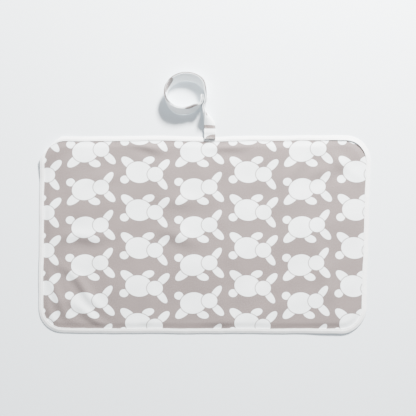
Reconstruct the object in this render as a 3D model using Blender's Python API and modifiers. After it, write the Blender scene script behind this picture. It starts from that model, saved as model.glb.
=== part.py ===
"""A portable fabric changing pad with a snap-closed strap, as an assembly of separate pieces.

The pad lies flat in three panels. The two side panels fold over the middle one, and the strap,
sewn to the middle of the rear edge, holds the rolled pad closed with a plastic snap.
Metres. The origin is on the underside, at the pad's centre: +X along the long side, +Y towards
the strap, +Z up.
"""

import math

import bmesh
import bpy
from mathutils import Matrix, Vector

# The pad's outline
PAD_LENGTH = 0.596
PAD_DEPTH = 0.355
CORNER_RADIUS = 0.046
CORNER_STEPS = 8
FOLD_X = 0.1005  # the fold lines are at this distance either side of the centre
FOLD_GAP = 0.0006

# The axes of the folds stand above the pad, so that the cloth bends round them
LEFT_FOLD_Z = 0.0070
RIGHT_FOLD_Z = 0.0103

# The binding, a tape folded round the edge
BINDING_WIDTH = 0.0085
BINDING_HEIGHT = 0.0030
TAPE = 0.0005

# The layers, from below: (name, top in the middle, top under the binding, thickness)
FACE_CLOTH = 0.0005
LAYERS = (
    ("back_sheet", 0.0005, 0.0012, FACE_CLOTH),
    ("film", 0.0009, 0.0016, 0.0002),
    ("top_sheet", 0.0038, 0.0023, FACE_CLOTH),
)
RIM_INSET = 0.0010  # a layer's edge, inside the binding's fold
MARGIN_INSET = BINDING_WIDTH + 0.0015  # where the layers start to part
FULL_INSET = MARGIN_INSET + 0.0060  # where they are at full height
WADDING_TOP = 0.0031
WADDING = 0.0020
WADDING_INSET = FULL_INSET + 0.0008

# Sewing thread, which lies on the binding near its inner edge
THREAD_RADIUS = 0.0002
THREAD_LIFT = 0.0005
THREAD_INSET = BINDING_WIDTH - 0.0015

# The strap: two plies folded from one strip, with a stiffener between them
STRAP_WIDTH = 0.020
STRAP_THICK = 0.0036
PLY = 0.0010
STIFFENER = 0.0008
STIFFENER_BACK = 0.0030  # how far the stiffener stays behind the open edge
STIFFENER_FRONT = 0.0030  # and behind the folded edge
STRAP_PARTS = 4  # faces across one ply
STRAP_LEFT = -0.0005  # x of the strap's left edge where it lies flat
FLOOR_GAP = 0.0003
TAB_FRONT = 0.1712
TAB_REAR = 0.1794
TAB_THICK = 0.0028
TAB_BOTTOM = BINDING_HEIGHT + 0.0003
STRAP_START = 0.1800
STRAP_DOWN = 0.2140  # here the strap reaches the floor
TWIST_START = 0.1880
TWIST_END = 0.2307
STRAP_HINGE_Y = 0.1797
STRAP_HINGE_Z = TAB_BOTTOM + STRAP_THICK

# The loop that the closed strap makes: an ellipse of its outer lower edge, standing on edge
LOOP_CENTRE = (-0.0343, 0.2460)
LOOP_HALF = (0.0383, 0.0325)
LOOP_LEAN = (math.radians(40), math.radians(33))  # out at the rear, and in at the front
LOOP_START = -28.0  # degrees round the loop from +X
LOOP_STEP = 4.0
END_HINGE_ANGLE = 318.0
END_GAP_ANGLE = 0.9  # half of the gap between the strap and its free end, in degrees
TIP_ANGLE = 371.0
LAP_START, LAP_FULL = 225.0, 345.0  # degrees where the free end starts and ends moving inwards

# The snap
SNAP_ANGLE = 356.0
SNAP_FLAT, SNAP_EASE = 11.0, 60.0  # degrees either side of it: held upright, and leaning again
SNAP_STIFF = 0.0016  # how much of the loop's bulge the snap takes out
CAP_RADIUS = 0.0060
CAP_THICK = 0.0012
PRONG_RADIUS = 0.0011
PRONG_HOLE = 0.0016
STUD_RADIUS = 0.0048
STUD_BASE = 0.0007
NUB_RADIUS = 0.0022
NUB_HEIGHT = 0.0009
SOCKET_RADIUS = 0.0052
SOCKET_THICK = 0.0018
RECESS_RADIUS = 0.0027
RECESS_DEPTH = 0.0012
SNAP_GAP = 0.0002
SNAP_CLEAR = 0.0002
SNAP_STACK = 2 * SNAP_GAP + STUD_BASE + SNAP_CLEAR + SOCKET_THICK
TURN_STEPS = 24

COLOURS = {
    "print": (0.66, 0.60, 0.57, 0.85, 0.0),
    "backing": (0.86, 0.86, 0.85, 0.80, 0.0),
    "film": (0.80, 0.84, 0.86, 0.30, 0.0),
    "wadding": (0.90, 0.90, 0.88, 0.95, 0.0),
    "tape": (0.90, 0.91, 0.91, 0.80, 0.0),
    "thread": (0.82, 0.82, 0.81, 0.70, 0.0),
    "stiffener": (0.88, 0.88, 0.86, 0.90, 0.0),
    "snap": (0.92, 0.93, 0.93, 0.35, 0.0),
}


# Scene


def clear_scene():
    for found in list(bpy.data.objects):
        bpy.data.objects.remove(found)


def new_collection(name):
    collection = bpy.data.collections.new(name)
    bpy.context.scene.collection.children.link(collection)
    return collection


def make_material(name):
    red, green, blue, roughness, metallic = COLOURS[name]
    material = bpy.data.materials.new(name)
    material.use_nodes = True
    shader = material.node_tree.nodes["Principled BSDF"]
    shader.inputs["Base Color"].default_value = (red, green, blue, 1)
    shader.inputs["Roughness"].default_value = roughness
    shader.inputs["Metallic"].default_value = metallic
    material.diffuse_color = (red, green, blue, 1)
    return material


def add_object(name, data, colour, parent):
    """An object in the pad's collection, with a material of its own, at its parent."""
    made = bpy.data.objects.new(name, data)
    PARTS.objects.link(made)
    data.materials.append(MATERIALS[colour])
    made.parent = parent
    made.matrix_parent_inverse = parent.matrix_world.inverted()
    return made


def add_pivot(name, place, parent=None):
    """An empty on a joint's axis, which carries the pieces of one body."""
    pivot = bpy.data.objects.new(name, None)
    PARTS.objects.link(pivot)
    pivot.location = place
    if parent is not None:
        pivot.parent = parent
        pivot.matrix_parent_inverse = parent.matrix_world.inverted()
    bpy.context.view_layer.update()
    return pivot


def mesh_from(bm, name):
    mesh = bpy.data.meshes.new(name)
    bm.to_mesh(mesh)
    bm.free()
    return mesh


def thicken(made, thickness, offset=-1.0):
    """Thickness below the surface, or on both sides of it with an offset of 0."""
    solidify = made.modifiers.new("thickness", "SOLIDIFY")
    solidify.thickness = thickness
    solidify.offset = offset
    solidify.use_even_offset = True


# The pad's layers and binding


def corner(centre_x, centre_y, radius, first_degrees):
    turns = [math.radians(first_degrees + 90 * i / CORNER_STEPS) for i in range(CORNER_STEPS + 1)]
    return [(centre_x + radius * math.cos(a), centre_y + radius * math.sin(a)) for a in turns]


def edge_runs(panel, inset):
    """A panel's runs of outer edge, counter-clockwise, at this inset from the pad's outline."""
    half_length, half_depth = PAD_LENGTH / 2 - inset, PAD_DEPTH / 2 - inset
    radius = CORNER_RADIUS - inset
    if panel == "middle":
        x = FOLD_X - FOLD_GAP / 2
        return [[(x, half_depth), (-x, half_depth)], [(-x, -half_depth), (x, -half_depth)]]
    x = FOLD_X + FOLD_GAP / 2
    run = [(x, -half_depth)]
    run += corner(half_length - radius, radius - half_depth, radius, -90)
    run += corner(half_length - radius, half_depth - radius, radius, 0)
    run += [(x, half_depth)]
    if panel == "left":
        run = [(-x, -y) for x, y in run]
    return [run]


def strip_surface(runs_at, levels, filled):
    """An open surface through the runs at each (inset, z), and across the last one if filled."""
    bm = bmesh.new()
    rings = [[[bm.verts.new((x, y, z)) for x, y in run] for run in runs_at(inset)] for inset, z in levels]
    for outer, inner in zip(rings, rings[1:]):
        for outer_run, inner_run in zip(outer, inner):
            for i in range(len(outer_run) - 1):
                bm.faces.new((outer_run[i], outer_run[i + 1], inner_run[i + 1], inner_run[i]))
    if filled:
        bm.faces.new([vert for run in rings[-1] for vert in run])
    return bm


def make_layers(panel, body):
    """The cloth and film of one panel, pressed together under the binding, and its wadding."""
    for name, middle, margin, thickness in LAYERS:
        levels = [(RIM_INSET, margin), (MARGIN_INSET, margin), (FULL_INSET, middle)]
        bm = strip_surface(lambda inset: edge_runs(panel, inset), levels, filled=True)
        node = f"{name}_{panel}"
        colour = {"back_sheet": "backing", "film": "film", "top_sheet": "print"}[name]
        thicken(add_object(node, mesh_from(bm, node), colour, body), thickness)
    bm = strip_surface(lambda inset: edge_runs(panel, inset), [(WADDING_INSET, WADDING_TOP)], filled=True)
    node = f"wadding_{panel}"
    thicken(add_object(node, mesh_from(bm, node), "wadding", body), WADDING)


def make_binding(node, panel, run_index, body):
    """The folded tape along one run of the edge: lower lip, outer wall and upper lip."""
    levels = [(BINDING_WIDTH, 0), (0, 0), (0, BINDING_HEIGHT), (BINDING_WIDTH, BINDING_HEIGHT)]
    bm = strip_surface(lambda inset: [edge_runs(panel, inset)[run_index]], levels, filled=False)
    thicken(add_object(node, mesh_from(bm, node), "tape", body), TAPE)


def make_thread(node, points, body):
    """A row of stitches, as one thread that lies on the cloth."""
    curve = bpy.data.curves.new(node, "CURVE")
    curve.dimensions = "3D"
    curve.bevel_depth = THREAD_RADIUS
    curve.bevel_resolution = 1
    curve.use_fill_caps = True
    spline = curve.splines.new("POLY")
    spline.points.add(len(points) - 1)
    for point, place in zip(spline.points, points):
        point.co = (*place, 1)
    add_object(node, curve, "thread", body)


def make_edge(suffix, panel, run_index, body):
    make_binding(f"binding_{suffix}", panel, run_index, body)
    z = BINDING_HEIGHT + THREAD_LIFT
    run = edge_runs(panel, THREAD_INSET)[run_index]
    make_thread(f"seam_thread_{suffix}", [(x, y, z) for x, y in run], body)


# The strap: each section is its outer lower corner, the direction of its width and of its thickness


def smooth(value, low, high):
    t = min(max((value - low) / (high - low), 0), 1)
    return t * t * (3 - 2 * t)


def section(corner_place, tilt, outward):
    """A section's lower corner and the direction of its width.

    tilt is the turn of the width from flat, towards upright, in radians, and outward is the level
    direction that a flat strap's width points to.
    """
    return corner_place, outward * math.cos(tilt) + Vector((0, 0, math.sin(tilt)))


def edge_normals(sections, u):
    """For each section, the direction square to the strap's course at u across its width."""
    line = [place + across * u for place, across in sections]
    ahead = line[1:] + [2 * line[-1] - line[-2]]
    behind = [2 * line[0] - line[1]] + line[:-1]
    return [
        across.cross(after - before).normalized()
        for (_, across), before, after in zip(sections, behind, ahead)
    ]


def with_normals(sections):
    """Each section as (corner, across, normal at the corner, normal at the other edge)."""
    near, far = edge_normals(sections, 0), edge_normals(sections, STRAP_WIDTH)
    return [(*part, a, b) for part, a, b in zip(sections, near, far)]


def loop_frame(degrees):
    """One section of the loop, with its normal."""
    return with_normals([loop_section(degrees + step) for step in (-0.5, 0, 0.5)])[1]


def lead_section(y):
    """The strap between the pad's edge and the loop: flat, then its left edge rises."""
    down = smooth(y, STRAP_START, STRAP_DOWN)
    turn = smooth(y, TWIST_START, TWIST_END)
    loop_tilt = math.pi / 2 - loop_lean(LOOP_START)
    tilt = math.pi + (loop_tilt - math.pi) * turn
    z = TAB_BOTTOM + (FLOOR_GAP - TAB_BOTTOM) * down - STRAP_THICK * math.cos(tilt)
    last_x = STRAP_LEFT - STRAP_WIDTH * math.cos(loop_tilt)
    shift = (loop_section(LOOP_START)[0].x - last_x) * turn
    x = STRAP_LEFT - STRAP_WIDTH * math.cos(tilt) + shift
    outward = Vector((1, 0, 0)).lerp(loop_outward(LOOP_START), turn).normalized()
    return section(Vector((x, y, z)), tilt, outward)


def flatness(degrees):
    """1 where the snap holds the strap upright, falling to 0 away from it."""
    away = abs((degrees - SNAP_ANGLE + 180) % 360 - 180)
    return 1 - smooth(away, SNAP_FLAT, SNAP_EASE)


def ellipse_point(degrees):
    a = math.radians(degrees)
    x = LOOP_CENTRE[0] + LOOP_HALF[0] * math.cos(a)
    y = LOOP_CENTRE[1] + LOOP_HALF[1] * math.sin(a)
    return Vector((x, y, 0))


def loop_plan(degrees):
    """The loop's outer lower edge in plan: an ellipse, all but straight at the snap."""
    place = ellipse_point(degrees)
    a = math.radians(SNAP_ANGLE)
    out = Vector((math.cos(a) / LOOP_HALF[0], math.sin(a) / LOOP_HALF[1], 0)).normalized()
    behind = (ellipse_point(SNAP_ANGLE) - place).dot(out)
    return place + out * (behind + SNAP_STIFF - math.hypot(behind, SNAP_STIFF))


def loop_outward(degrees):
    """The level direction out of the loop at this angle round it."""
    along = loop_plan(degrees + 0.5) - loop_plan(degrees - 0.5)
    return Vector((along.y, -along.x, 0)).normalized()


def loop_lean(degrees):
    """How far the loop's wall leans outwards at this angle round it."""
    rear, front = LOOP_LEAN
    across = math.sin(math.radians(degrees))
    return across * ((front + rear) / 2 - across * (front - rear) / 2) * (1 - flatness(degrees))


def lap_inset(degrees):
    """How far the free end lies inside the rest of the loop."""
    return (STRAP_THICK + SNAP_STACK) * smooth(degrees, LAP_START, LAP_FULL)


def loop_section(degrees):
    outward = loop_outward(degrees)
    place = loop_plan(degrees) - outward * lap_inset(degrees)
    lean = loop_lean(degrees)
    place.z = FLOOR_GAP + STRAP_THICK * max(0, -math.sin(lean))
    return section(place, math.pi / 2 - lean, outward)


def spread(first, last, step):
    """Even values from first to last, about step apart."""
    count = max(1, math.ceil(abs(last - first) / step))
    return [first + (last - first) * i / count for i in range(count + 1)]


def strap_sections():
    """The sewn strap's sections, from the pad's edge to the hinge of its free end."""
    first_y = loop_section(LOOP_START)[0].y
    flat = [lead_section(y) for y in spread(STRAP_START, TWIST_START, 0.004)]
    twist = [lead_section(y) for y in spread(TWIST_START, first_y, 0.0012)]
    loop = [loop_frame(a) for a in spread(LOOP_START, END_HINGE_ANGLE - END_GAP_ANGLE, LOOP_STEP)]
    return with_normals(flat + twist[1:])[:-1] + loop


def end_sections():
    """The free end's sections, from its hinge to its tip."""
    angles = spread(END_HINGE_ANGLE + END_GAP_ANGLE, TIP_ANGLE, LOOP_STEP / 2)
    return [loop_frame(a) for a in angles]


def band_surface(sections, profile, folded):
    """A surface through every section's profile, whose points are (across, through) in metres.

    A folded strip turns back halfway, and its second half is cut along the other diagonals, so
    that both faces of a twisted strap are split alike.
    """
    bm = bmesh.new()
    rows = []
    for place, across, near, far in sections:
        row = []
        for u, v in profile:
            through = near.lerp(far, u / STRAP_WIDTH).normalized()
            row.append(bm.verts.new(place + across * u + through * v))
        rows.append(row)
    for row, following in zip(rows, rows[1:]):
        for k in range(len(profile) - 1):
            a, b, c, d = row[k + 1], following[k + 1], following[k], row[k]
            if folded and k >= len(profile) // 2:
                bm.faces.new((a, b, d))
                bm.faces.new((b, c, d))
            else:
                bm.faces.new((a, b, c))
                bm.faces.new((a, c, d))
    return bm


def sleeve_profile():
    """Out along one ply, round the fold and back along the other."""
    low = [(STRAP_WIDTH * (1 - i / STRAP_PARTS), 0) for i in range(STRAP_PARTS + 1)]
    return low + [(u, STRAP_THICK) for u, _ in reversed(low)]


def stiffener_profile():
    last = STRAP_WIDTH - STIFFENER_BACK
    step = (last - STIFFENER_FRONT) / STRAP_PARTS
    return [(last - step * i, STRAP_THICK / 2) for i in range(STRAP_PARTS + 1)]


def make_strap(prefix, sections, body):
    sleeve = f"{prefix}_sleeve"
    bm = band_surface(sections, sleeve_profile(), folded=True)
    made_sleeve = add_object(sleeve, mesh_from(bm, sleeve), "print", body)
    thicken(made_sleeve, PLY)
    core = f"{prefix}_stiffener"
    bm = band_surface(sections, stiffener_profile(), folded=False)
    made_core = add_object(core, mesh_from(bm, core), "stiffener", body)
    thicken(made_core, STIFFENER, offset=0.0)
    return made_sleeve, made_core


def make_tab(body):
    """The strap's sewn end, on top of the rear binding, and the thread that holds it."""
    bpy.ops.mesh.primitive_cube_add(size=1)
    tab = bpy.context.active_object
    data = tab.data
    bpy.data.objects.remove(tab)
    place = Vector(
        (STRAP_LEFT + STRAP_WIDTH / 2, (TAB_FRONT + TAB_REAR) / 2, TAB_BOTTOM + TAB_THICK / 2)
    )
    size = Vector((STRAP_WIDTH, TAB_REAR - TAB_FRONT, TAB_THICK))
    data.transform(Matrix.Translation(place) @ Matrix.Diagonal((*size, 1)))
    data.name = "strap_tab"
    made = add_object("strap_tab", data, "print", body)
    bevel = made.modifiers.new("soft_edges", "BEVEL")
    bevel.width = 0.0006
    bevel.segments = 2
    inset = 0.0012
    y, z = TAB_FRONT + inset, TAB_BOTTOM + TAB_THICK + THREAD_LIFT
    ends = (STRAP_LEFT + inset, STRAP_LEFT + STRAP_WIDTH - inset)
    make_thread("strap_tack_thread", [(x, y, z) for x in ends], body)


# The snap


def snap_frame():
    """The snap's axis points out of the loop; its origin is on the strap's outer face."""
    place, across, near, far = loop_frame(SNAP_ANGLE - 360)
    through = (near + far).normalized()
    along = across.cross(through)
    axes = Matrix((across, along, -through)).transposed().to_4x4()
    return Matrix.Translation(place + across * (STRAP_WIDTH / 2)) @ axes


def turned(node, profile, frame, body):
    """A solid turned about the snap's axis: profile is (radius, height) down its outer side."""
    bm = bmesh.new()
    verts = [bm.verts.new((radius, 0, height)) for radius, height in profile]
    for first, second in zip(verts, verts[1:]):
        bm.edges.new((first, second))
    made = add_object(node, mesh_from(bm, node), "snap", body)
    screw = made.modifiers.new("turn", "SCREW")
    screw.steps = TURN_STEPS
    screw.render_steps = TURN_STEPS
    screw.use_merge_vertices = True
    screw.merge_threshold = 0.00001
    made.matrix_world = frame
    return made


def cap_profile(prong_end, facing):
    """A domed cap at height 0 and its prong, which reaches to prong_end below it."""
    high = SNAP_GAP + CAP_THICK
    outline = [
        (0, high),
        (CAP_RADIUS * 0.6, high - 0.0001),
        (CAP_RADIUS * 0.93, high - 0.0004),
        (CAP_RADIUS, SNAP_GAP + 0.0003),
        (CAP_RADIUS - 0.0002, SNAP_GAP),
        (PRONG_RADIUS, SNAP_GAP),
        (PRONG_RADIUS, -prong_end),
        (0, -prong_end),
    ]
    return outline if facing > 0 else [(r, -h) for r, h in reversed(outline)]


def make_snap(strap_body, end_body):
    """Cap and stud on the strap, socket and cap on its free end, from the outside inwards."""
    frame = snap_frame()
    inner = -STRAP_THICK
    stud_top = inner - SNAP_GAP
    stud_face = stud_top - STUD_BASE
    turned("snap_stud_cap", cap_profile(STRAP_THICK + SNAP_GAP + STUD_BASE * 0.6, 1), frame, strap_body)
    turned(
        "snap_stud",
        [
            (PRONG_HOLE - 0.0002, stud_top),
            (STUD_RADIUS, stud_top),
            (STUD_RADIUS, stud_face),
            (NUB_RADIUS - 0.0001, stud_face),
            (NUB_RADIUS, stud_face - NUB_HEIGHT * 0.6),
            (NUB_RADIUS - 0.0003, stud_face - NUB_HEIGHT),
            (PRONG_HOLE - 0.0002, stud_face - NUB_HEIGHT),
            (PRONG_HOLE - 0.0002, stud_top),
        ],
        frame,
        strap_body,
    )
    mouth = stud_face - SNAP_CLEAR
    seat = mouth - SOCKET_THICK
    turned(
        "snap_socket",
        [
            (RECESS_RADIUS, mouth),
            (SOCKET_RADIUS - 0.0003, mouth),
            (SOCKET_RADIUS, mouth - 0.0004),
            (SOCKET_RADIUS, seat),
            (PRONG_HOLE - 0.0002, seat),
            (PRONG_HOLE - 0.0002, mouth - RECESS_DEPTH),
            (RECESS_RADIUS, mouth - RECESS_DEPTH),
            (RECESS_RADIUS, mouth),
        ],
        frame,
        end_body,
    )
    end_inner = seat - SNAP_GAP - STRAP_THICK
    prong = STRAP_THICK + SNAP_GAP + (SOCKET_THICK - RECESS_DEPTH) * 0.6
    end_frame = frame @ Matrix.Translation((0, 0, end_inner))
    turned("snap_socket_cap", cap_profile(prong, -1), end_frame, end_body)
    return frame, end_inner


def cut_snap_hole(made, name, frame, top, bottom):
    """A round hole through a ply or stiffener, for the prong of the snap's cap."""
    length = top - bottom
    bpy.ops.mesh.primitive_cylinder_add(vertices=16, radius=PRONG_HOLE, depth=length)
    cutter = bpy.context.active_object
    cutter.name = name
    for owner in list(cutter.users_collection):
        owner.objects.unlink(cutter)
    CUTTERS.objects.link(cutter)
    cutter.matrix_world = frame @ Matrix.Translation((0, 0, (top + bottom) / 2))
    cutter.hide_render = True
    cutter.display_type = "WIRE"
    hole = made.modifiers.new("snap_hole", "BOOLEAN")
    hole.operation = "DIFFERENCE"
    hole.object = cutter


def build():
    middle = add_pivot("pad_origin", (0, 0, 0))
    left = add_pivot("left_fold_axis", (-FOLD_X, 0, LEFT_FOLD_Z), middle)
    right = add_pivot("right_fold_axis", (FOLD_X, 0, RIGHT_FOLD_Z), middle)
    strap = add_pivot("strap_axis", (STRAP_LEFT + STRAP_WIDTH / 2, STRAP_HINGE_Y, STRAP_HINGE_Z), middle)
    end_place, _, end_through, _ = loop_frame(END_HINGE_ANGLE)
    strap_end = add_pivot("strap_end_axis", end_place + end_through * STRAP_THICK, strap)

    for panel, body in (("left", left), ("middle", middle), ("right", right)):
        make_layers(panel, body)
    make_edge("left", "left", 0, left)
    make_edge("right", "right", 0, right)
    make_edge("middle_rear", "middle", 0, middle)
    make_edge("middle_front", "middle", 1, middle)

    make_tab(middle)
    strap_pieces = make_strap("strap", strap_sections(), strap)
    end_pieces = make_strap("strap_end", end_sections(), strap_end)
    frame, end_inner = make_snap(strap, strap_end)
    reach = 0.0004
    for made in strap_pieces:
        cut_snap_hole(made, f"{made.name}_hole", frame, reach, -STRAP_THICK - reach)
    for made in end_pieces:
        cut_snap_hole(made, f"{made.name}_hole", frame, end_inner + STRAP_THICK + reach, end_inner - reach)


clear_scene()
PARTS = new_collection("changing_pad")
CUTTERS = new_collection("cutters")
MATERIALS = {name: make_material(name) for name in COLOURS}
build()
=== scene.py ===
import math

import bpy
import numpy as np
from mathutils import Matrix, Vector


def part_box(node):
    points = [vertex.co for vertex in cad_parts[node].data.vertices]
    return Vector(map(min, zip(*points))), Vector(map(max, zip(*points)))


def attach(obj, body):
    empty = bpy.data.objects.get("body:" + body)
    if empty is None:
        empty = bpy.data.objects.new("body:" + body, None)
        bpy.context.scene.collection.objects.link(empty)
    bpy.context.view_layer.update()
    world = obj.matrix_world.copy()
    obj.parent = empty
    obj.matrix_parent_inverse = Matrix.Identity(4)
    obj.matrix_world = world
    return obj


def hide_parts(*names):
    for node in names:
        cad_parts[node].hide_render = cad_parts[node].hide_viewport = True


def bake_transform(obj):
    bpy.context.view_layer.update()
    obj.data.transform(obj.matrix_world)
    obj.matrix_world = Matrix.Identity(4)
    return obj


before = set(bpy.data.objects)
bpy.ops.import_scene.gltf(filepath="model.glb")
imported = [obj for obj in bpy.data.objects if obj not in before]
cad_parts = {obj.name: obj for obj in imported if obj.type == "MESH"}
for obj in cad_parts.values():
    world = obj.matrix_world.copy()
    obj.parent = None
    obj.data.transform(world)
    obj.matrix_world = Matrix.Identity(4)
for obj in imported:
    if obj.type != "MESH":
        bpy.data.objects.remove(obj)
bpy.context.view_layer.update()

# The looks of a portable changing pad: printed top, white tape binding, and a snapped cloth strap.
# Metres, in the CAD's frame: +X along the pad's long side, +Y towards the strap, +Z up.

MM = 0.001

# The pad, whose half sizes are read from the CAD nodes
HALF_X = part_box("binding_right")[1].x
HALF_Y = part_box("binding_middle_rear")[1].y
RADIUS = 0.046
RIM_INSET = 0.0010

# The binding's tape, folded round the pad's edge
TAPE_WIDTH = 0.0085
TAPE = 0.0005
TAPE_HEIGHT = 0.0030
EDGE_ARC = 0.0024  # half of the tape's way round the edge
STITCH_LINE = 0.0069  # how far the binding's stitches are from the pad's outline
STITCH_SHARE = 0.78  # and the same as a share of the binding's width
LIP_CORNER = (0.030, 0.016)  # where the inner edge stands up, from the pad's rear right corner
LIP_SPREAD = (0.042, 0.030)
LIP_LIFT = 0.0017

# Layers, from below, by name: (slot, underside in the middle, underside at the margin, thickness)
LAYERS = {
    "back_sheet": ("backing", 0.0000, 0.0007, 0.0005),
    "film": ("film", 0.0007, 0.0014, 0.0002),
    "top_sheet": ("print", 0.0033, 0.0018, 0.0005),
}
WADDING_INSET = 0.0158  # how far the wadding's mesh stops inside the pad's outline
WADDING_LOW, WADDING_HIGH = 0.0011, 0.0031

# The corner that is folded under: a point on its crease, which runs at 45 degrees, half of the gap
# left inside the fold, how much cloth the turn takes, and how high and from how far the pad rises
CREASE = np.array((-0.2889, 0.1467))
CREASE_GAP = 0.0004
CREASE_ARC = 0.0052
CREASE_LIFT = 0.0041
CREASE_RAMP = 0.034

# How far each corner of the pad lies from its place in a true rectangle, in metres: (x, y) by side
CORNER_SHIFT = {
    (-1, 1): (0.0019, -0.0018),
    (1, 1): (0.0017, 0.0014),
    (1, -1): (-0.0085, -0.0008),
    (-1, -1): (-0.0015, 0.0010),
}

# The rear edge is drawn in at the strap: (x, spread along x, depth)
STRAP_PULL = (0.012, 0.045, 0.0019)

EDGE_WANDER = 0.0005  # how far the edges wander from straight lines
EDGE_REACH = 0.05  # and how far into the pad that goes
EDGE_PRESS = 0.45  # how thick the pad is at its very edge, as a share of its thickness inside it
PRESS_REACH = 0.0075  # and how far inside the outline that ends

# Where the pad's edge stands off the floor: (x, y, spread along x, spread along y, height)
EDGE_LIFTS = (
    (0.238, -0.190, 0.045, 0.024, 0.0017),
    (0.295, 0.060, 0.020, 0.050, 0.0007),
    (-0.300, -0.060, 0.016, 0.050, 0.0005),
    (0.130, 0.186, 0.050, 0.016, 0.0006),
)

# Ripples in the top: (x, y, heading in degrees, half length, half width, height)
RIPPLES = (
    (-0.214, -0.098, -46, 0.050, 0.0080, 0.0025),
    (-0.262, -0.112, -58, 0.040, 0.0090, 0.0021),
    (-0.205, -0.145, -30, 0.040, 0.0075, 0.0017),
    (-0.098, -0.135, 84, 0.045, 0.0100, 0.0013),
    (0.032, -0.120, 96, 0.060, 0.0120, 0.0008),
    (0.165, 0.120, 62, 0.055, 0.0110, 0.0013),
    (0.245, 0.128, -30, 0.040, 0.0100, 0.0013),
    (0.215, -0.060, 110, 0.060, 0.0130, 0.0009),
    (-0.180, 0.105, 20, 0.060, 0.0120, 0.0010),
    (0.090, 0.020, 75, 0.070, 0.0160, 0.0007),
    (-0.220, -0.002, 4, 0.045, 0.0110, 0.0019),
    (-0.048, -0.001, -12, 0.038, 0.0120, 0.0019),
    (-0.051, 0.063, 8, 0.034, 0.0130, 0.0015),
    (-0.104, 0.160, -8, 0.030, 0.0080, 0.0017),
    (0.042, 0.160, 10, 0.032, 0.0085, 0.0017),
    (0.215, 0.115, 25, 0.040, 0.0120, 0.0013),
)
RIPPLE_WAVES = 0.0006  # the height of the gentle waves below them
RIPPLE_RANGE = (-0.0012, 0.0034)  # the lowest and highest that they may reach together

# The strap, whose course is the CAD's
STRAP_WIDTH = 0.020
STRAP_THICK = 0.0036
PLY = 0.0010
STRAP_LEFT = -0.0005
FLOOR_GAP = 0.0003
TAB_FRONT = 0.1712
TAB_REAR = 0.1794
TAB_THICK = 0.0028
TAB_BOTTOM = 0.0033
STRAP_START = 0.1800
STRAP_DOWN = 0.2140
TWIST_START = 0.1880
TWIST_END = 0.2307
LOOP_CENTRE = (-0.0343, 0.2460)
LOOP_HALF = (0.0383, 0.0325)
LOOP_LEAN = (math.radians(40), math.radians(33))
LOOP_START = -28.0
END_HINGE_ANGLE = 318.0
END_PIECE_START = 296.0
TIP_ANGLE = 371.0
LAP_START, LAP_FULL = 225.0, 345.0
SNAP_ANGLE = 356.0
SNAP_FLAT, SNAP_EASE = 11.0, 60.0
SNAP_STIFF = 0.0016
SNAP_STACK = 0.0031
STRAP_STITCHES = (0.0025, 0.0172)  # how far each row of topstitching is from the folded edge
TOPSTITCH_START = 0.186

# The stitches of the strap's tack: its rows from the tab's front, and their pitch and length
TACK_ROWS = (0.0016, 0.0034)
TACK_PITCH, TACK_LONG = 0.0026, 0.0019

SEAM_THREAD = 0.00024
STRAP_THREAD = 0.00022
THREAD_FLAT = 0.8  # how far a stitch is flattened
THREAD_RISE = 0.00008  # how far a stitch's middle is above its cloth

# The print: one plain faceless silhouette, of ovals: (x, y, half length, half height, turn), in mm
MOTIF = (
    (-35, 13, 8.0, 7.0, 0),
    (-27, -16, 17, 8.0, 38),
    (8, -21, 11, 6.5, -18),
    (-9, 0, 23.5, 19, 8),
    (32, 19, 14.5, 6.2, 52),
    (35, -12, 14.0, 6.6, -44),
    (20, 4, 14.0, 13.0, 0),
)
PITCH_X = 0.0976
PITCH_Y = 0.0682
UPRIGHT = (-0.2066, 0.0819)
FLIPPED_RISE = 0.0306

# Where the strap's cloth shows the print's ground: (along it, across it, half sizes, turn), in mm
STRAP_PATCHES = (
    (0.0, -3.0, 9.0, 15.5, 0),
    (22.5, -9.0, 3.4, 22.0, 0),
    (46.0, -14.0, 4.2, 3.0, 0),
    (128.0, -21.5, 44.0, 3.6, 0),
    (178.0, 18.0, 15.0, 8.5, 0),
    (196.0, -22.0, 20.0, 2.4, 0),
    (262.0, -19.5, 14.0, 3.8, 0),
)

GROUND = (0.124, 0.088, 0.081)
WHITE = (0.840, 0.880, 0.895)

# The stage
FLOOR_HALF = 3.0
FLOOR_DROP = 0.0002
KEY_AZIMUTH, KEY_ELEVATION, KEY_AWAY = math.radians(72), math.radians(28.5), 1.9
KEY_TARGET = (0.0, 0.08, 0.0)
KEY_SIZE, KEY_POWER = 0.36, 325
LENS, SENSOR = 85, 36
FIELD_WIDTH = 0.749  # how much of the floor the camera sees
VIEW_CENTRE = (0.006, 0.048)


# Numbers


def smooth(value, low, high):
    t = np.clip((value - low) / (high - low), 0, 1)
    return t * t * (3 - 2 * t)


def waves(s, seed, longest=0.06):
    """A smooth wandering value between about -1 and 1 along a length s, the same on every run."""
    total = 0
    for k in range(5):
        length = longest / (1 + 0.73 * k)
        total = total + np.sin(2 * math.pi * s / length + seed * 1.7 + 2.4 * k * k) / (1 + k)
    return total / 1.7


# Meshes


def object_from(name, verts, faces, uvs, material):
    """A smooth mesh with a UV map; uvs has one place for each vertex, in metres of flat cloth."""
    mesh = bpy.data.meshes.new(name)
    mesh.from_pydata([tuple(v) for v in verts], [], faces)
    mesh.polygons.foreach_set("use_smooth", [True] * len(mesh.polygons))
    mesh.set_sharp_from_angle(angle=math.radians(70))
    layer = mesh.uv_layers.new(name="cloth")
    corners = np.zeros(len(mesh.loops), int)
    mesh.loops.foreach_get("vertex_index", corners)
    layer.data.foreach_set("uv", np.asarray(uvs, np.float32)[corners].ravel())
    mesh.update()
    made = bpy.data.objects.new(name, mesh)
    bpy.context.scene.collection.objects.link(made)
    mesh.materials.append(material)
    return made


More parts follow.
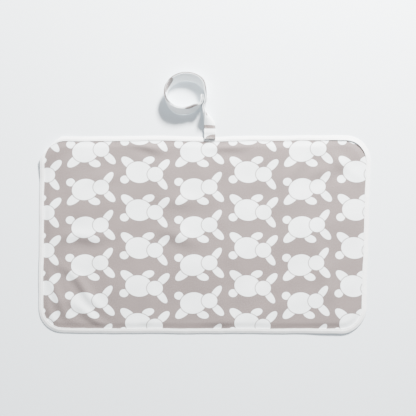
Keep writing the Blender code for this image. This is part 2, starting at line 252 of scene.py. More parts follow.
def shell(name, top, bottom, uv, material):
    """A closed sheet between two grids of points, each of shape (columns, rows, 3)."""
    n, m = top.shape[:2]
    number = np.arange(n * m).reshape(n, m)
    a, b, c, d = number[:-1, :-1], number[1:, :-1], number[1:, 1:], number[:-1, 1:]
    faces = np.stack((a, b, c, d), -1).reshape(-1, 4).tolist()
    faces += (np.stack((d, c, b, a), -1).reshape(-1, 4) + n * m).tolist()
    rim = list(number[:, 0]) + list(number[-1, 1:]) + list(number[-2::-1, -1]) + list(number[0, -2:0:-1])
    for first, second in zip(rim, rim[1:] + rim[:1]):
        faces.append((int(second), int(first), int(first) + n * m, int(second) + n * m))
    verts = np.concatenate((top.reshape(-1, 3), bottom.reshape(-1, 3)))
    uvs = np.concatenate((uv.reshape(-1, 2), uv.reshape(-1, 2)))
    return object_from(name, verts, faces, uvs, material)


def swept(name, rings, uv, material):
    """A closed tube through rings of points of shape (sections, points, 3), with flat ends."""
    n, m = rings.shape[:2]
    number = np.arange(n * m).reshape(n, m)
    after = np.roll(number, -1, axis=1)
    faces = np.stack((number[:-1], after[:-1], after[1:], number[1:]), -1).reshape(-1, 4).tolist()
    faces.append([int(i) for i in reversed(number[0])])
    faces.append([int(i) for i in number[-1]])
    return object_from(name, rings.reshape(-1, 3), faces, uv.reshape(-1, 2), material)


def stitches(name, starts, ends, normals, radius, place=None):
    """Short threads from starts to ends, rounded, and flattened along their normals."""
    sides, stations = 6, ((0.0, 0.35), (0.12, 0.85), (0.5, 1.0), (0.88, 0.85), (1.0, 0.35))
    verts, faces, uvs = [], [], []
    for start, end, normal in zip(starts, ends, normals):
        along = (end - start) / np.linalg.norm(end - start)
        side = np.cross(normal, along)
        side /= np.linalg.norm(side)
        rise = np.cross(along, side)
        base = len(verts)
        for t, width in stations:
            middle = start + (end - start) * t
            for k in range(sides):
                a = 2 * math.pi * k / sides
                spoke = side * math.cos(a) + rise * THREAD_FLAT * math.sin(a)
                verts.append(middle + radius * width * spoke)
                uvs.append((t * 0.0025, k / sides * 0.001))
        for row in range(len(stations) - 1):
            for k in range(sides):
                a, b = base + row * sides + k, base + row * sides + (k + 1) % sides
                faces.append((a, b, b + sides, a + sides))
        faces.append([base + k for k in reversed(range(sides))])
        faces.append([base + (len(stations) - 1) * sides + k for k in range(sides)])
    verts = np.array(verts)
    if place is not None:
        verts = place(verts)
    return object_from(name, verts, faces, uvs, MATERIALS["thread"])


# The pad's shape


def edge_distance(x, y):
    """How far each place is inside the pad's outline."""
    ax, ay = np.abs(x) - (HALF_X - RADIUS), np.abs(y) - (HALF_Y - RADIUS)
    outside = np.hypot(np.maximum(ax, 0), np.maximum(ay, 0))
    return RADIUS - outside - np.minimum(np.maximum(ax, ay), 0)


def ripple(x, y):
    """The height of the soft ripples in the top."""
    total = RIPPLE_WAVES * waves(x + 0.4 * y, 1.0, 0.19) + RIPPLE_WAVES * waves(y - 0.3 * x, 2.0, 0.15)
    for cx, cy, heading, length, width, height in RIPPLES:
        a = math.radians(heading)
        along = (x - cx) * math.cos(a) + (y - cy) * math.sin(a)
        across = (y - cy) * math.cos(a) - (x - cx) * math.sin(a) + 0.004 * np.sin(along / 0.018)
        ridge = np.exp(-((across / width) ** 2)) - 0.45 * np.exp(-(((across + 1.7 * width) / width) ** 2))
        total = total + height * ridge * np.exp(-((along / length) ** 2))
    return np.clip(total, *RIPPLE_RANGE) * smooth(edge_distance(x, y), TAPE_WIDTH - 0.001, 0.024)


def margin_rise(x, y):
    """0 where the layers are pressed together under the binding, and 1 where they are full."""
    return smooth(edge_distance(x, y), TAPE_WIDTH, 0.021)


def settled(points):
    """Points of the flat pad, moved to where the cloth really lies."""
    p = np.array(points, float)
    x, y, z = p[..., 0].copy(), p[..., 1].copy(), p[..., 2].copy()
    z *= EDGE_PRESS + (1 - EDGE_PRESS) * smooth(edge_distance(x, y), 0, PRESS_REACH)
    for cx, cy, wide, deep, height in EDGE_LIFTS:
        z += height * np.exp(-(((x - cx) / wide) ** 2) - ((y - cy) / deep) ** 2)
    z, x, y = tucked(x, y, z)
    shift_x, shift_y = np.zeros_like(x), np.zeros_like(y)
    for (side_x, side_y), (dx, dy) in CORNER_SHIFT.items():
        share = (1 + side_x * x / HALF_X) * (1 + side_y * y / HALF_Y) / 4
        reach = smooth(np.abs(x), 0.02, HALF_X)
        shift_x += dx * share * reach
        shift_y += dy * share * reach
    pull_x, pull_spread, pull_depth = STRAP_PULL
    shift_y -= pull_depth * np.exp(-(((x - pull_x) / pull_spread) ** 2)) * smooth(y, 0.10, HALF_Y)
    edge = smooth(EDGE_REACH - edge_distance(x, y), 0, EDGE_REACH)
    shift_x += EDGE_WANDER * waves(y, 5.0, 0.13) * edge
    shift_y += EDGE_WANDER * waves(x, 7.0, 0.15) * edge
    return np.stack((x + shift_x, y + shift_y, z), -1)


def tucked(x, y, z):
    """Folds the pad's rear left corner under itself along its crease."""
    out = ((y - CREASE[1]) - (x - CREASE[0])) / math.sqrt(2)
    along = ((y - CREASE[1]) + (x - CREASE[0])) / math.sqrt(2)
    near = x < -0.2
    turn = math.pi * np.clip(out / CREASE_ARC, 0, 1)
    arm = z + CREASE_GAP
    folded_out = np.where(out > 0, arm * np.sin(turn) - np.maximum(out - CREASE_ARC, 0), out)
    folded_z = np.where(out > 0, arm * np.cos(turn) - CREASE_GAP, z)
    folded_z = folded_z + CREASE_LIFT * smooth(out, -CREASE_RAMP, 0)
    new_x = CREASE[0] + (along - folded_out) / math.sqrt(2)
    new_y = CREASE[1] + (along + folded_out) / math.sqrt(2)
    return np.where(near, folded_z, z), np.where(near, new_x, x), np.where(near, new_y, y)


def spaced(first, last, fine_from, coarse, fine):
    """Even steps from first to last, finer after fine_from."""
    count = max(1, round(abs(fine_from - first) / coarse))
    fines = max(1, round(abs(last - fine_from) / fine))
    start = np.linspace(first, fine_from, count + 1)[:-1]
    return np.concatenate((start, np.linspace(fine_from, last, fines + 1)))


def half_grid(side, inset, coarse, fine):
    """x and y of a grid over one half of the pad, in columns that end on the rounded outline."""
    half_x, half_y, radius = HALF_X - inset, HALF_Y - inset, RADIUS - inset
    straight = spaced(0, half_x - radius, half_x - radius - 0.012, coarse, fine)
    turns = np.linspace(0, math.pi / 2, max(7, round(0.045 / fine)) + 1)[1:]
    xs = np.concatenate((straight, half_x - radius + radius * np.sin(turns)))
    beyond = np.clip((xs - (half_x - radius)) / radius, 0, 1)
    depths = half_y - radius + radius * np.sqrt(1 - beyond**2)
    rows = spaced(-1, 1, 0.72, coarse / half_y, fine / half_y)
    margin = spaced(-1, -0.88, -0.94, fine / half_y, fine / half_y)
    rows = np.concatenate((margin, rows[rows > -0.875]))
    x = np.repeat(xs[:, None], len(rows), axis=1)
    y = depths[:, None] * rows[None, :]
    if side == "left":
        x = -x[::-1]
        y = y[::-1]
    return x, y


def make_layer(name, side):
    """One half of the back sheet, the film or the top sheet."""
    slot, middle, margin, thick = LAYERS[name]
    coarse, fine = (0.0040, 0.0016) if name == "top_sheet" else (0.0070, 0.0026)
    x, y = half_grid(side, RIM_INSET, coarse, fine)
    low = margin + (middle - margin) * margin_rise(x, y)
    if name == "top_sheet":
        low = low + ripple(x, y)
    bottom = settled(np.stack((x, y, low), -1))
    top = settled(np.stack((x, y, low + thick), -1))
    made = shell(f"{name}_{side}_half", top, bottom, np.stack((x, y), -1), MATERIALS[slot])
    bend(made)
    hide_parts(f"{name}_{side}", f"{name}_middle")


def make_wadding(side):
    x, y = half_grid(side, WADDING_INSET, 0.0070, 0.0030)
    low = np.full_like(x, WADDING_LOW)
    high = WADDING_HIGH + ripple(x, y) - 0.0010 * (1 - smooth(edge_distance(x, y), 0.0155, 0.024))
    top, bottom = settled(np.stack((x, y, high), -1)), settled(np.stack((x, y, low), -1))
    made = shell(f"wadding_{side}_half", top, bottom, np.stack((x, y), -1), MATERIALS["wadding"])
    bend(made)
    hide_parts(f"wadding_{side}", "wadding_middle")


def bend(made):
    """Bakes the piece's transform into its mesh."""
    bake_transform(made)


def outline(side, step=0.0028, fine=0.0014):
    """Places, outward directions and lengths along one half's outline, from the rear middle round."""
    places, outs = [], []
    width, depth = HALF_X - RADIUS, HALF_Y - RADIUS
    rear_turns = np.linspace(0, math.pi / 2, 33 if side == "left" else 19)
    front_turns = rear_turns[::2] if side == "left" else rear_turns
    for x in spaced(0, width, width - 0.012, step, fine)[:-1]:
        places.append((x, HALF_Y))
        outs.append((0, 1))
    for a in rear_turns:
        places.append((width + RADIUS * math.sin(a), depth + RADIUS * math.cos(a)))
        outs.append((math.sin(a), math.cos(a)))
    for y in spaced(depth, -depth, -depth, step * 0.8, fine)[1:-1]:
        places.append((HALF_X, y))
        outs.append((1, 0))
    for a in front_turns:
        places.append((width + RADIUS * math.cos(a), -depth - RADIUS * math.sin(a)))
        outs.append((math.cos(a), -math.sin(a)))
    for x in np.linspace(width, 0, round(width / step) + 1)[1:]:
        places.append((x, -HALF_Y))
        outs.append((0, -1))
    places, outs = np.array(places), np.array(outs, float)
    if side == "left":
        places[:, 0] *= -1
        outs[:, 0] *= -1
    lengths = np.concatenate(([0], np.cumsum(np.linalg.norm(np.diff(places, axis=0), axis=1))))
    return places, outs, lengths


def tape_width(places):
    """How much of the tape shows on top, which is a little more at the pad's front."""
    return TAPE_WIDTH - 0.0004 * places[:, 1] / HALF_Y


def lip_height(distance, s):
    """The top of the binding's upper lip, at this distance inside the outline and length along it."""
    crown = 0.00022 * np.exp(-(((distance - 0.0038) / 0.0022) ** 2))
    groove = 0.00030 * np.exp(-(((distance - STITCH_LINE) / 0.0008) ** 2))
    pucker = 0.00010 * waves(s, 3.0, 0.021) * smooth(distance, 0.002, 0.006)
    return TAPE_HEIGHT + crown - groove + pucker


def raised_lip(places):
    """How far the binding's inner edge stands up, which it does at the rear right corner."""
    corner = np.array((HALF_X - LIP_CORNER[0], HALF_Y - LIP_CORNER[1]))
    return LIP_LIFT * np.exp(-(((places - corner) / LIP_SPREAD) ** 2).sum(axis=1))


def lip_share(share):
    """How much of that rise the upper lip has at this share of its width."""
    return smooth(share, 0.5, 1.0)


def tape_section(width, lift, s):
    """The folded tape's closed section: (distance inside the outline, height, place on flat tape)."""
    edge = TAPE_HEIGHT / 2
    zero = np.zeros_like(width)
    points = []
    for share in (1.0, 0.75, 0.5, 0.25):
        distance = edge + (width - edge) * share
        points.append((distance, zero, -EDGE_ARC - (distance - edge)))
    for k in range(7):
        a = -math.pi / 2 + math.pi * k / 6
        points.append((zero + edge * (1 - math.cos(a)), zero + edge * (1 + math.sin(a)), zero + edge * a))
    for share in (0.12, 0.25, 0.40, 0.55, 0.66, 0.74, 0.78, 0.84, 0.92, 1.0):
        distance = edge + (width - edge) * share
        z = lip_height(distance, s) + lift * lip_share(share)
        points.append((distance, z, EDGE_ARC + distance - edge))
    for share in (1.0, 0.78, 0.5, 0.2):
        distance = edge + (width - edge) * share
        z = lip_height(distance, s) - TAPE + lift * lip_share(share)
        points.append((distance, z, EDGE_ARC + distance - edge))
    for z in (TAPE_HEIGHT - TAPE * 1.8, TAPE * 1.8):
        points.append((zero + TAPE * 1.2, zero + z, zero))
    for share in (0.2, 0.5, 1.0):
        distance = edge + (width - edge) * share
        points.append((distance, zero + TAPE, -EDGE_ARC - (distance - edge)))
    return points


def make_binding(side):
    places, outs, lengths = outline(side)
    s = lengths if side == "left" else -lengths
    width = tape_width(places) + 0.00022 * waves(s, 9.0, 0.047)
    points = tape_section(width, raised_lip(places), s)
    rings = [np.column_stack((places - outs * distance[:, None], z)) for distance, z, _ in points]
    rings = np.stack(rings, axis=1)
    uv = np.stack([np.stack((lengths, unrolled), -1) for _, _, unrolled in points], axis=1)
    if side == "right":
        rings, uv = rings[:, ::-1], uv[:, ::-1]
    made = swept(f"binding_{side}_half", settled(rings), uv, MATERIALS["tape"])
    bend(made)
    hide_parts(f"binding_{side}", "binding_middle_rear", "binding_middle_front")


def make_seam(side):
    """The stitches that hold the binding, each a short thread in the tape's groove."""
    places, outs, lengths = outline(side)
    pitch, long = 0.0032, 0.0023
    count = int(lengths[-1] / pitch)
    at = (np.arange(count) + 0.5) * pitch
    ends = []
    for shift in (-long / 2, long / 2):
        where = at + shift
        px = np.interp(where, lengths, places[:, 0])
        py = np.interp(where, lengths, places[:, 1])
        ox, oy = np.interp(where, lengths, outs[:, 0]), np.interp(where, lengths, outs[:, 1])
        size = np.hypot(ox, oy)
        x, y = px - ox / size * STITCH_LINE, py - oy / size * STITCH_LINE
        s = where if side == "left" else -where
        lift = raised_lip(np.stack((px, py), -1)) * lip_share(STITCH_SHARE)
        z = lip_height(np.full_like(x, STITCH_LINE), s) + lift + THREAD_RISE
        ends.append(np.stack((x, y, z), -1))
    normals = np.tile((0.0, 0.0, 1.0), (count, 1))
    made = stitches(f"seam_stitches_{side}_half", *ends, normals, SEAM_THREAD, settled)
    bend(made)
    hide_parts(f"seam_thread_{side}", "seam_thread_middle_rear", "seam_thread_middle_front")


# The strap's course


def ellipse_point(degrees):
    """A place on the ellipse that the loop follows, seen from above."""
    a = math.radians(degrees)
    x = LOOP_CENTRE[0] + LOOP_HALF[0] * math.cos(a)
    y = LOOP_CENTRE[1] + LOOP_HALF[1] * math.sin(a)
    return Vector((x, y, 0))


def flatness(degrees):
    """1 at the snap, where the strap is flat and upright, and 0 away from it."""
    away = abs((degrees - SNAP_ANGLE + 180) % 360 - 180)
    return 1 - float(smooth(away, SNAP_FLAT, SNAP_EASE))


def loop_plan(degrees):
    """The loop's course seen from above, flattened at the snap."""
    place = ellipse_point(degrees)
    a = math.radians(SNAP_ANGLE)
    out = Vector((math.cos(a) / LOOP_HALF[0], math.sin(a) / LOOP_HALF[1], 0)).normalized()
    behind = (ellipse_point(SNAP_ANGLE) - place).dot(out)
    return place + out * (behind + SNAP_STIFF - math.hypot(behind, SNAP_STIFF))


def loop_outward(degrees):
    """The level direction out of the loop, square to its course."""
    along = loop_plan(degrees + 0.5) - loop_plan(degrees - 0.5)
    return Vector((along.y, -along.x, 0)).normalized()


def loop_lean(degrees):
    """How far the loop's wall leans."""
    rear, front = LOOP_LEAN
    across = math.sin(math.radians(degrees))
    return across * ((front + rear) / 2 - across * (front - rear) / 2) * (1 - flatness(degrees))


def section(place, tilt, outward):
    """A place on the strap's edge and the direction across the strap from it."""
    return place, outward * math.cos(tilt) + Vector((0, 0, math.sin(tilt)))


def loop_section(degrees):
    outward = loop_outward(degrees)
    inset = (STRAP_THICK + SNAP_STACK) * float(smooth(degrees, LAP_START, LAP_FULL))
    place = loop_plan(degrees) - outward * inset
    lean = loop_lean(degrees)
    place.z = FLOOR_GAP + STRAP_THICK * max(0, -math.sin(lean))
    return section(place, math.pi / 2 - lean, outward)


def lead_section(y):
    """The strap between its sewn end and the loop, where it comes down and turns on edge."""
    down = float(smooth(y, STRAP_START, STRAP_DOWN))
    turn = float(smooth(y, TWIST_START, TWIST_END))
    loop_tilt = math.pi / 2 - loop_lean(LOOP_START)
    tilt = math.pi + (loop_tilt - math.pi) * turn
    z = TAB_BOTTOM + (FLOOR_GAP - TAB_BOTTOM) * down - STRAP_THICK * math.cos(tilt)
    last_x = STRAP_LEFT - STRAP_WIDTH * math.cos(loop_tilt)
    shift = (loop_section(LOOP_START)[0].x - last_x) * turn
    x = STRAP_LEFT - STRAP_WIDTH * math.cos(tilt) + shift
    outward = Vector((1, 0, 0)).lerp(loop_outward(LOOP_START), turn).normalized()
    return section(Vector((x, y, z)), tilt, outward)


def with_normals(sections):
    """Arrays of corners, directions across the strap and through it, square to its course."""
    places = np.array([s[0] for s in sections])
    across = np.array([s[1] for s in sections])
    middles = places + across * (STRAP_WIDTH / 2)
    ahead = np.concatenate((middles[1:], [2 * middles[-1] - middles[-2]]))
    behind = np.concatenate(([2 * middles[0] - middles[1]], middles[:-1]))
    through = np.cross(across, ahead - behind)
    through /= np.linalg.norm(through, axis=1)[:, None]
    return places, across, through


def steps(first, last, step):
    return np.linspace(first, last, max(2, math.ceil(abs(last - first) / step) + 1))


def loop_frames(first, last, step):
    """Arrays as with_normals makes them, each from its own short stretch of the loop."""
    near = (-0.5, 0, 0.5)
    triples = [with_normals([loop_section(a + d) for d in near]) for a in steps(first, last, step)]
    return tuple(np.array([part[k][1] for part in triples]) for k in range(3))


def strap_course():
    """The strap from its sewn end to where its free end begins to peel."""
    first_y = loop_section(LOOP_START)[0].y
    ys = np.concatenate((
        steps(TAB_FRONT, STRAP_START, 0.0011)[:-1],
        steps(STRAP_START, TWIST_START, 0.0020)[:-1],
        steps(TWIST_START, first_y, 0.0009),
    ))
    lead = with_normals([lead_section(y) for y in ys])
    loop = loop_frames(LOOP_START, END_PIECE_START, 2.5)
    return tuple(np.concatenate((a[:-1], b)) for a, b in zip(lead, loop))


def end_course():
    return loop_frames(END_PIECE_START, TIP_ANGLE, 1.25)


def course_length(course):
    places, across, _ = course
    middles = places + across * (STRAP_WIDTH / 2)
    return np.concatenate(([0], np.cumsum(np.linalg.norm(np.diff(middles, axis=0), axis=1))))


def face_dip(u):
    """How far the strap's face is pressed in at its stitches."""
    return sum(0.00026 * np.exp(-(((u - row) / 0.0008) ** 2)) for row in STRAP_STITCHES)


def ply_thickness(u):
    """The cut edge of each ply is pressed thinner."""
    return PLY - 0.0004 * smooth(u, 0.0180, STRAP_WIDTH)


def strap_profile():
    """The strap's closed section as (across, through, place on the flat cloth)."""
    fold = STRAP_THICK / 2
    us = np.array((20, 19.6, 19.0, 18.2, 17.6, 17.2, 16.8, 16.2, 14, 11, 8, 5, 3.3, 2.9, 2.5, 2.1)) * MM
    points = [(u, float(face_dip(u)), -u) for u in us]
    for k in range(7):
        a = math.pi * k / 6
        points.append((fold * (1 - math.sin(a)), fold * (1 - math.cos(a)), fold * (a - math.pi / 2) * 0.6))
    points += [(u, STRAP_THICK - float(face_dip(u)), u + 0.001) for u in us[::-1]]
    inner = np.array((20, 19, 17.2, 12, 6, 2.8)) * MM
    points += [(u, STRAP_THICK - float(ply_thickness(u) + face_dip(u)), u + 0.002) for u in inner]
    inside = fold - PLY
    for k in range(1, 4):
        a = math.pi - math.pi * k / 4
        points.append((fold - inside * math.sin(a), fold - inside * math.cos(a), 0))
    points += [(u, float(ply_thickness(u) + face_dip(u)), -u - 0.002) for u in inner[::-1]]
    return points


def strap_rings(course, tip=None, tab=False):
    """The section's points all along a course, rounded off at its tip and thinner at its tab."""
    places, across, through = course
    lengths = course_length(course)
    middle = STRAP_WIDTH / 2
    squeeze = np.ones(len(places))
    thin = np.ones(len(places))
    if tip:
        left = np.clip(lengths[-1] - lengths, 0, tip)  # how much of the strap is left
        squeeze = 1 - (tip - np.sqrt(tip**2 - (tip - left) ** 2)) / middle
        thin = 0.55 + 0.45 * np.sqrt(np.clip(left / 0.0012, 0, 1))
    if tab:
        share = TAB_THICK / STRAP_THICK
        thin = share + (1 - share) * smooth(places[:, 1], TAB_REAR, STRAP_START + 0.004)
        thin = thin * (0.6 + 0.4 * np.sqrt(np.clip(lengths / 0.0010, 0, 1)))
    kept = STRAP_THICK if tab else STRAP_THICK / 2
    rings, uv = [], []
    for u, v, cloth in strap_profile():
        uu = middle + (u - middle) * squeeze
        vv = kept + (v - kept) * thin
        bulge = 0.00012 * waves(lengths, 4.0 + 30 * cloth, 0.022) * smooth(u, 0.003, 0.012)
        rings.append(places + across * uu[:, None] + through * (vv + bulge)[:, None])
        uv.append(np.stack((lengths, np.full_like(lengths, cloth)), -1))
    return np.stack(rings, axis=1), np.stack(uv, axis=1)


def end_bend(made):
    """Bakes the free end's transform into its mesh; the frames at the line beside the snap are found but
    not used.
    """
    places, across, through = loop_frames(END_HINGE_ANGLE - 0.5, END_HINGE_ANGLE + 0.5, 1)
    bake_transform(made)


def root_bend(made):
    """Bakes the strap's transform into its mesh."""
    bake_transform(made)


def along_course(where, lengths, values):
    """Values of a course at these lengths along it."""
    return np.stack([np.interp(where, lengths, values[:, k]) for k in range(3)], -1)


def strap_stitches(name, course, first, last):
    """Rows of topstitching on both faces of the strap."""
    places, across, through = course
    lengths = course_length(course)
    pitch, long = 0.0030, 0.0021
    at = np.arange(first + pitch, last - pitch / 2, pitch)
    starts, ends, normals = [], [], []
    for row in STRAP_STITCHES:
        for face in (-1, 1):
            depth = face_dip(row) if face < 0 else STRAP_THICK - face_dip(row)
            line = places + across * row + through * (depth + face * 0.00006)
            starts.append(along_course(at - long / 2, lengths, line))
            ends.append(along_course(at + long / 2, lengths, line))
            normals.append(face * along_course(at, lengths, through))
    return stitches(name, *(np.concatenate(rows) for rows in (starts, ends, normals)), STRAP_THREAD)


def make_strap():
    course = strap_course()
    lengths = course_length(course)
    rings, uv = strap_rings(course, tab=True)
    main = swept("strap_cloth", rings[:, ::-1], uv[:, ::-1], MATERIALS["strap_print"])
    root_bend(main)
    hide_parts("strap_tab", "strap_sleeve", "strap_stiffener")
    lead = slice(0, 60)  # the first sections, whose y grows all the way
    begun = float(np.interp(TOPSTITCH_START, course[0][lead, 1], lengths[lead]))
    main_stitches = strap_stitches("strap_topstitch", course, begun, lengths[-1])
    root_bend(main_stitches)
    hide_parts("strap_tack_thread")
    make_tack()

    end = end_course()
    end_lengths = course_length(end)
    rings, uv = strap_rings(end, tip=0.004)
    uv[..., 0] += lengths[-1]
    tail = swept("strap_end_cloth", rings[:, ::-1], uv[:, ::-1], MATERIALS["strap_print"])
    end_bend(tail)
    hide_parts("strap_end_sleeve", "strap_end_stiffener")
    tail_stitches = strap_stitches("strap_end_topstitch", end, 0, end_lengths[-1] - 0.003)
    end_bend(tail_stitches)


def make_tack():
    """Two rows of stitches across the strap's sewn end."""
    z = TAB_BOTTOM + TAB_THICK + THREAD_RISE
    starts = []
    for row in TACK_ROWS:
        for x in np.arange(STRAP_LEFT + 0.0016, STRAP_LEFT + STRAP_WIDTH - 0.003, TACK_PITCH):
            starts.append((x, TAB_FRONT + row, z))
    starts = np.array(starts)
    normals = np.tile((0.0, 0.0, 1.0), (len(starts), 1))
    made = stitches("strap_tack", starts, starts + (TACK_LONG, 0, 0), normals, STRAP_THREAD)
    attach(made, "middle_panel")


# Materials

WAVE_RATE = 20  # how many radians a wave texture turns in one unit at scale 1


class Nodes:
    """A material's node tree, with short calls for the nodes that this script uses."""

    def __init__(self, name, colour, roughness):
        self.material = bpy.data.materials.new(name)
        self.material.use_nodes = True
        self.tree = self.material.node_tree
        self.shader = self.tree.nodes["Principled BSDF"]
        self.shader.inputs["Base Color"].default_value = (*colour, 1)
        self.shader.inputs["Roughness"].default_value = roughness
        self.material.diffuse_color = (*colour, 1)
        self.uv = self.add("ShaderNodeUVMap", uv_map="cloth").outputs["UV"]

    def add(self, kind, **settings):
        node = self.tree.nodes.new(kind)
        for name, value in settings.items():
            setattr(node, name, value)
        return node

    def link(self, source, target):
        self.tree.links.new(source, target)

    def fill(self, socket, value):
        if hasattr(value, "links"):
            self.link(value, socket)
        else:
            socket.default_value = value

    def math(self, operation, a, b=0.0):
        node = self.add("ShaderNodeMath", operation=operation)
        self.fill(node.inputs[0], a)
        self.fill(node.inputs[1], b)
        return node.outputs[0]

    def band(self, value, low, high, out_low=0.0, out_high=1.0):
        """value taken smoothly from low..high to out_low..out_high."""
        node = self.add("ShaderNodeMapRange", interpolation_type="SMOOTHSTEP")
        self.fill(node.inputs["Value"], value)
        node.inputs["From Min"].default_value = low
        node.inputs["From Max"].default_value = high
        node.inputs["To Min"].default_value = out_low
        node.inputs["To Max"].default_value = out_high
        return node.outputs["Result"]

    def mix(self, share, a, b):
        node = self.add("ShaderNodeMix", data_type="RGBA")
        self.fill(node.inputs["Factor"], share)
        self.fill(node.inputs["A"], a if hasattr(a, "links") else (*a, 1))
        self.fill(node.inputs["B"], b if hasattr(b, "links") else (*b, 1))
        return node.outputs["Result"]

    def noise(self, vector, scale, detail=2.0):
        node = self.add("ShaderNodeTexNoise")
        self.link(vector, node.inputs["Vector"])
        node.inputs["Scale"].default_value = scale
        node.inputs["Detail"].default_value = detail
        return node.outputs["Fac"]

    def placed(self, vector, offset=(0, 0), turn=0.0, scale=(1, 1), kind="POINT"):
        node = self.add("ShaderNodeMapping", vector_type=kind)
        self.link(vector, node.inputs["Vector"])
        node.inputs["Location"].default_value = (*offset, 0)
        node.inputs["Rotation"].default_value = (0, 0, turn)
        node.inputs["Scale"].default_value = (*scale, 1)
        return node.outputs["Vector"]

    def weave(self, pitch, diagonal=False):
        """A cloth's weave: two crossed sets of threads, or one slanting set for a twill."""
        outs = []
        turns = (0.0, math.pi / 2) if not diagonal else (math.pi / 4, math.pi / 2)
        for turn in turns:
            wave = self.add("ShaderNodeTexWave", wave_type="BANDS", bands_direction="X", wave_profile="SIN")
            self.link(self.placed(self.uv, turn=turn), wave.inputs["Vector"])
            wave.inputs["Scale"].default_value = 2 * math.pi / (WAVE_RATE * pitch)
            wave.inputs["Distortion"].default_value = 0.6
            wave.inputs["Detail Scale"].default_value = 3.0
            outs.append(wave.outputs["Fac"])
        return self.math("MAXIMUM", *outs)

    def bump(self, height, distance, strength=1.0, normal=None):
        node = self.add("ShaderNodeBump")
        self.link(height, node.inputs["Height"])
        node.inputs["Distance"].default_value = distance
        node.inputs["Strength"].default_value = strength
        if normal is not None:
            self.link(normal, node.inputs["Normal"])
        return node.outputs["Normal"]

    def colour_to(self, colour):
        self.link(colour, self.shader.inputs["Base Color"])

    def normal_to(self, normal):
        self.link(normal, self.shader.inputs["Normal"])

    def roughness_to(self, value):
        self.link(value, self.shader.inputs["Roughness"])


def reach_from(n, vector, oval):
    """How far each place is from an oval's middle, with 1 at the oval's edge."""
    x, y, length, height, turn = oval
    middle, halves = (x * MM, y * MM), (length * MM, height * MM)
    local = n.placed(vector, middle, math.radians(turn), halves, "TEXTURE")
    size = n.add("ShaderNodeVectorMath", operation="LENGTH")
    n.link(local, size.inputs[0])
    return size.outputs["Value"]


def strap_whiteness(n):
    """1 on the strap's white cloth and 0 where its print's ground shows, in places along it."""
    white = None
    for patch in STRAP_PATCHES:
        edge = 0.3 / patch[3]
        clear = n.band(reach_from(n, n.uv, patch), 1 - edge, 1 + edge)
        white = clear if white is None else n.math("MULTIPLY", white, clear)
    return white


def whiteness(n):
    """1 on the print's white silhouettes and 0 on its ground."""
    parts = n.add("ShaderNodeSeparateXYZ")
    n.link(n.uv, parts.inputs[0])
    x, y = parts.outputs["X"], parts.outputs["Y"]
    across = n.math("DIVIDE", n.math("SUBTRACT", x, UPRIGHT[0] - PITCH_X / 2), PITCH_X)
    column = n.math("FLOOR", across)
    odd = n.math("MODULO", n.math("ADD", column, 100), 2)
    local_x = n.math("MULTIPLY", n.math("SUBTRACT", n.math("FRACT", across), 0.5), PITCH_X)
    raised = n.math("SUBTRACT", y, n.math("MULTIPLY", odd, FLIPPED_RISE))
    up = n.math("DIVIDE", n.math("SUBTRACT", raised, UPRIGHT[1] - PITCH_Y / 2), PITCH_Y)
    local_y = n.math("MULTIPLY", n.math("SUBTRACT", n.math("FRACT", up), 0.5), PITCH_Y)
    local_y = n.math("MULTIPLY", local_y, n.math("SUBTRACT", 1, n.math("MULTIPLY", odd, 2)))
    joined = n.add("ShaderNodeCombineXYZ")
    n.link(local_x, joined.inputs["X"])
    n.link(local_y, joined.inputs["Y"])
    white = None
    for oval in MOTIF:
        reach = reach_from(n, joined.outputs[0], oval)
        edge = 0.6 / min(oval[2:4])
        fill = n.band(reach, 1 + edge / 2, 1 - edge / 2)
        if white is None:
            white = fill
            continue
        line = n.band(reach, 1 + edge * 3.4, 1 + edge * 2.0, 1.0, 0.25)
        white = n.math("MAXIMUM", n.math("MULTIPLY", white, line), fill)
    return white


def print_material(name, find_white):
    """Printed plain-weave cloth; find_white makes the nodes that say where it is white."""
    n = Nodes(name, GROUND, 0.85)
    white = find_white(n)
    patch = n.noise(n.uv, 14, 3)
    ground = n.mix(patch, tuple(c * 0.95 for c in GROUND), tuple(min(1, c * 1.05) for c in GROUND))
    fabric = n.noise(n.uv, 900, 2)
    ground = n.mix(n.band(fabric, 0.35, 0.65, 0.0, 0.10), ground, WHITE)
    pale = n.mix(patch, tuple(c * 0.97 for c in WHITE), tuple(min(1, c * 1.02) for c in WHITE))
    n.colour_to(n.mix(white, ground, pale))
    n.roughness_to(n.band(fabric, 0.2, 0.8, 0.78, 0.92))
    weave = n.bump(n.weave(0.00055), 0.00004, 0.5)
    n.normal_to(n.bump(n.noise(n.uv, 60, 3), 0.0008, 0.25, weave))
    n.shader.inputs["Sheen Weight"].default_value = 0.12
    n.shader.inputs["Sheen Roughness"].default_value = 0.6
    return n.material


def cloth_material(name, colour, pitch, roughness, diagonal=False, soft=60):
    """Plain cloth with threads this pitch apart; soft is the scale of its unevenness."""
    n = Nodes(name, colour, roughness)
    patch = n.noise(n.uv, 18, 3)
    base = n.mix(patch, tuple(c * 0.965 for c in colour), tuple(min(1, c * 1.02) for c in colour))
    weave = n.weave(pitch, diagonal)
    # The gaps between the weave's threads are painted a little darker: painted shade in the weave's hollows
    n.colour_to(n.mix(n.band(weave, 0.1, 0.8, 0.10, 0.0), base, tuple(c * 0.8 for c in colour)))
    n.roughness_to(n.band(n.noise(n.uv, 300, 2), 0.2, 0.8, roughness - 0.06, roughness + 0.06))
    n.normal_to(n.bump(n.noise(n.uv, soft, 3), 0.0008, 0.25, n.bump(weave, 0.00006, 0.6)))
    n.shader.inputs["Sheen Weight"].default_value = 0.15
    n.shader.inputs["Sheen Roughness"].default_value = 0.5
    return n.material


def film_material():
    n = Nodes("film_plastic", (0.80, 0.84, 0.86), 0.3)
    patch = n.noise(n.uv, 40, 4)
    n.colour_to(n.mix(patch, (0.77, 0.81, 0.83), (0.82, 0.86, 0.88)))
    n.normal_to(n.bump(patch, 0.0006, 0.4))
    return n.material


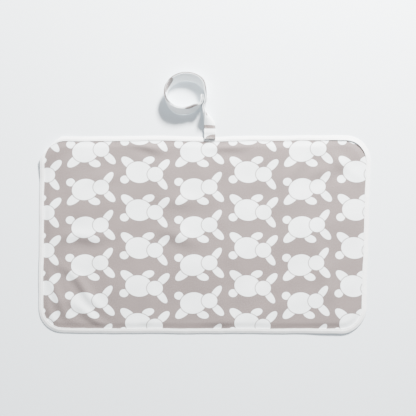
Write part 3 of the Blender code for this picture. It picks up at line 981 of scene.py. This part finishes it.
def wadding_material():
    n = Nodes("wadding_fibre", (0.90, 0.90, 0.88), 0.95)
    fibre = n.noise(n.placed(n.uv, scale=(1, 3)), 260, 6)
    n.colour_to(n.mix(fibre, (0.82, 0.82, 0.80), (0.92, 0.92, 0.90)))
    n.normal_to(n.bump(fibre, 0.0008, 0.8))
    return n.material


def thread_material():
    n = Nodes("thread_twist", (0.80, 0.80, 0.79), 0.6)
    twist = n.add("ShaderNodeTexWave", wave_type="BANDS", bands_direction="DIAGONAL")
    n.link(n.uv, twist.inputs["Vector"])
    twist.inputs["Scale"].default_value = 900
    # The twist's grooves are painted darker than its ridges: painted shade in the grooves
    n.colour_to(n.mix(twist.outputs["Fac"], (0.70, 0.70, 0.69), (0.84, 0.84, 0.83)))
    n.normal_to(n.bump(twist.outputs["Fac"], 0.00005, 0.8))
    n.shader.inputs["Sheen Weight"].default_value = 0.2
    return n.material


def plastic_material():
    """Moulded plastic, for the snap's CAD nodes, which have no UV map."""
    n = Nodes("snap_plastic", (0.86, 0.87, 0.87), 0.32)
    place = n.add("ShaderNodeTexCoord").outputs["Object"]
    grain = n.noise(place, 900, 3)
    cloud = n.noise(place, 120, 2)
    n.colour_to(n.mix(cloud, (0.84, 0.85, 0.85), (0.88, 0.89, 0.89)))
    n.roughness_to(n.band(grain, 0.2, 0.8, 0.26, 0.40))
    n.normal_to(n.bump(grain, 0.00003, 0.5))
    n.shader.inputs["Specular IOR Level"].default_value = 0.5
    return n.material


MATERIALS = {
    "print": print_material("printed_cloth", whiteness),
    "strap_print": print_material("printed_cloth_strap", strap_whiteness),
    "backing": cloth_material("backing_knit", (0.84, 0.84, 0.83), 0.0009, 0.85),
    "film": film_material(),
    "wadding": wadding_material(),
    "tape": cloth_material("tape_twill", (0.93, 0.94, 0.94), 0.0006, 0.80, diagonal=True, soft=120),
    "thread": thread_material(),
    "snap": plastic_material(),
}


# The floor, lights and camera


def make_stage():
    mesh = bpy.data.meshes.new("floor")
    corners = [(x * FLOOR_HALF, y * FLOOR_HALF, 0) for x, y in ((-1, -1), (1, -1), (1, 1), (-1, 1))]
    mesh.from_pydata(corners, [], [(0, 1, 2, 3)])
    floor = bpy.data.objects.new("floor", mesh)
    bpy.context.scene.collection.objects.link(floor)
    floor.location.z = -FLOOR_DROP
    n = Nodes("floor_paper", (0.765, 0.82, 0.86), 0.9)
    n.tree.nodes.remove(n.uv.node)
    mesh.materials.append(n.material)


def aim(made, place, target):
    made.location = place
    made.rotation_euler = (Vector(target) - Vector(place)).to_track_quat("-Z", "Y").to_euler()


def add_light(name, place, target, size, power, colour):
    data = bpy.data.lights.new(name, "AREA")
    data.shape = "DISK"
    data.size = size
    data.energy = power
    data.color = colour
    made = bpy.data.objects.new(name, data)
    bpy.context.scene.collection.objects.link(made)
    aim(made, place, target)


def make_lights():
    target = Vector(KEY_TARGET)
    level = Vector((math.cos(KEY_AZIMUTH), math.sin(KEY_AZIMUTH), 0)) * math.cos(KEY_ELEVATION)
    place = target + KEY_AWAY * (level + Vector((0, 0, math.sin(KEY_ELEVATION))))
    add_light("key", place, target, KEY_SIZE, KEY_POWER, (1.0, 0.99, 0.975))
    world = bpy.data.worlds.new("studio")
    world.use_nodes = True
    background = world.node_tree.nodes["Background"]
    background.inputs["Color"].default_value = (0.93, 0.965, 1.0, 1)
    background.inputs["Strength"].default_value = 0.80
    bpy.context.scene.world = world


def make_camera():
    data = bpy.data.cameras.new("camera")
    data.sensor_width = SENSOR
    data.lens = LENS
    camera = bpy.data.objects.new("camera", data)
    bpy.context.scene.collection.objects.link(camera)
    camera.location = (*VIEW_CENTRE, FIELD_WIDTH * LENS / SENSOR)
    bpy.context.scene.camera = camera


for panel_side in ("left", "right"):
    make_layer("back_sheet", panel_side)
    make_layer("film", panel_side)
    make_wadding(panel_side)
    make_layer("top_sheet", panel_side)
    make_binding(panel_side)
    make_seam(panel_side)
make_strap()
for node_name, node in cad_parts.items():
    if node_name.startswith("snap_"):
        for material_slot in node.material_slots:
            material_slot.material = MATERIALS["snap"]
make_stage()
make_lights()
make_camera()
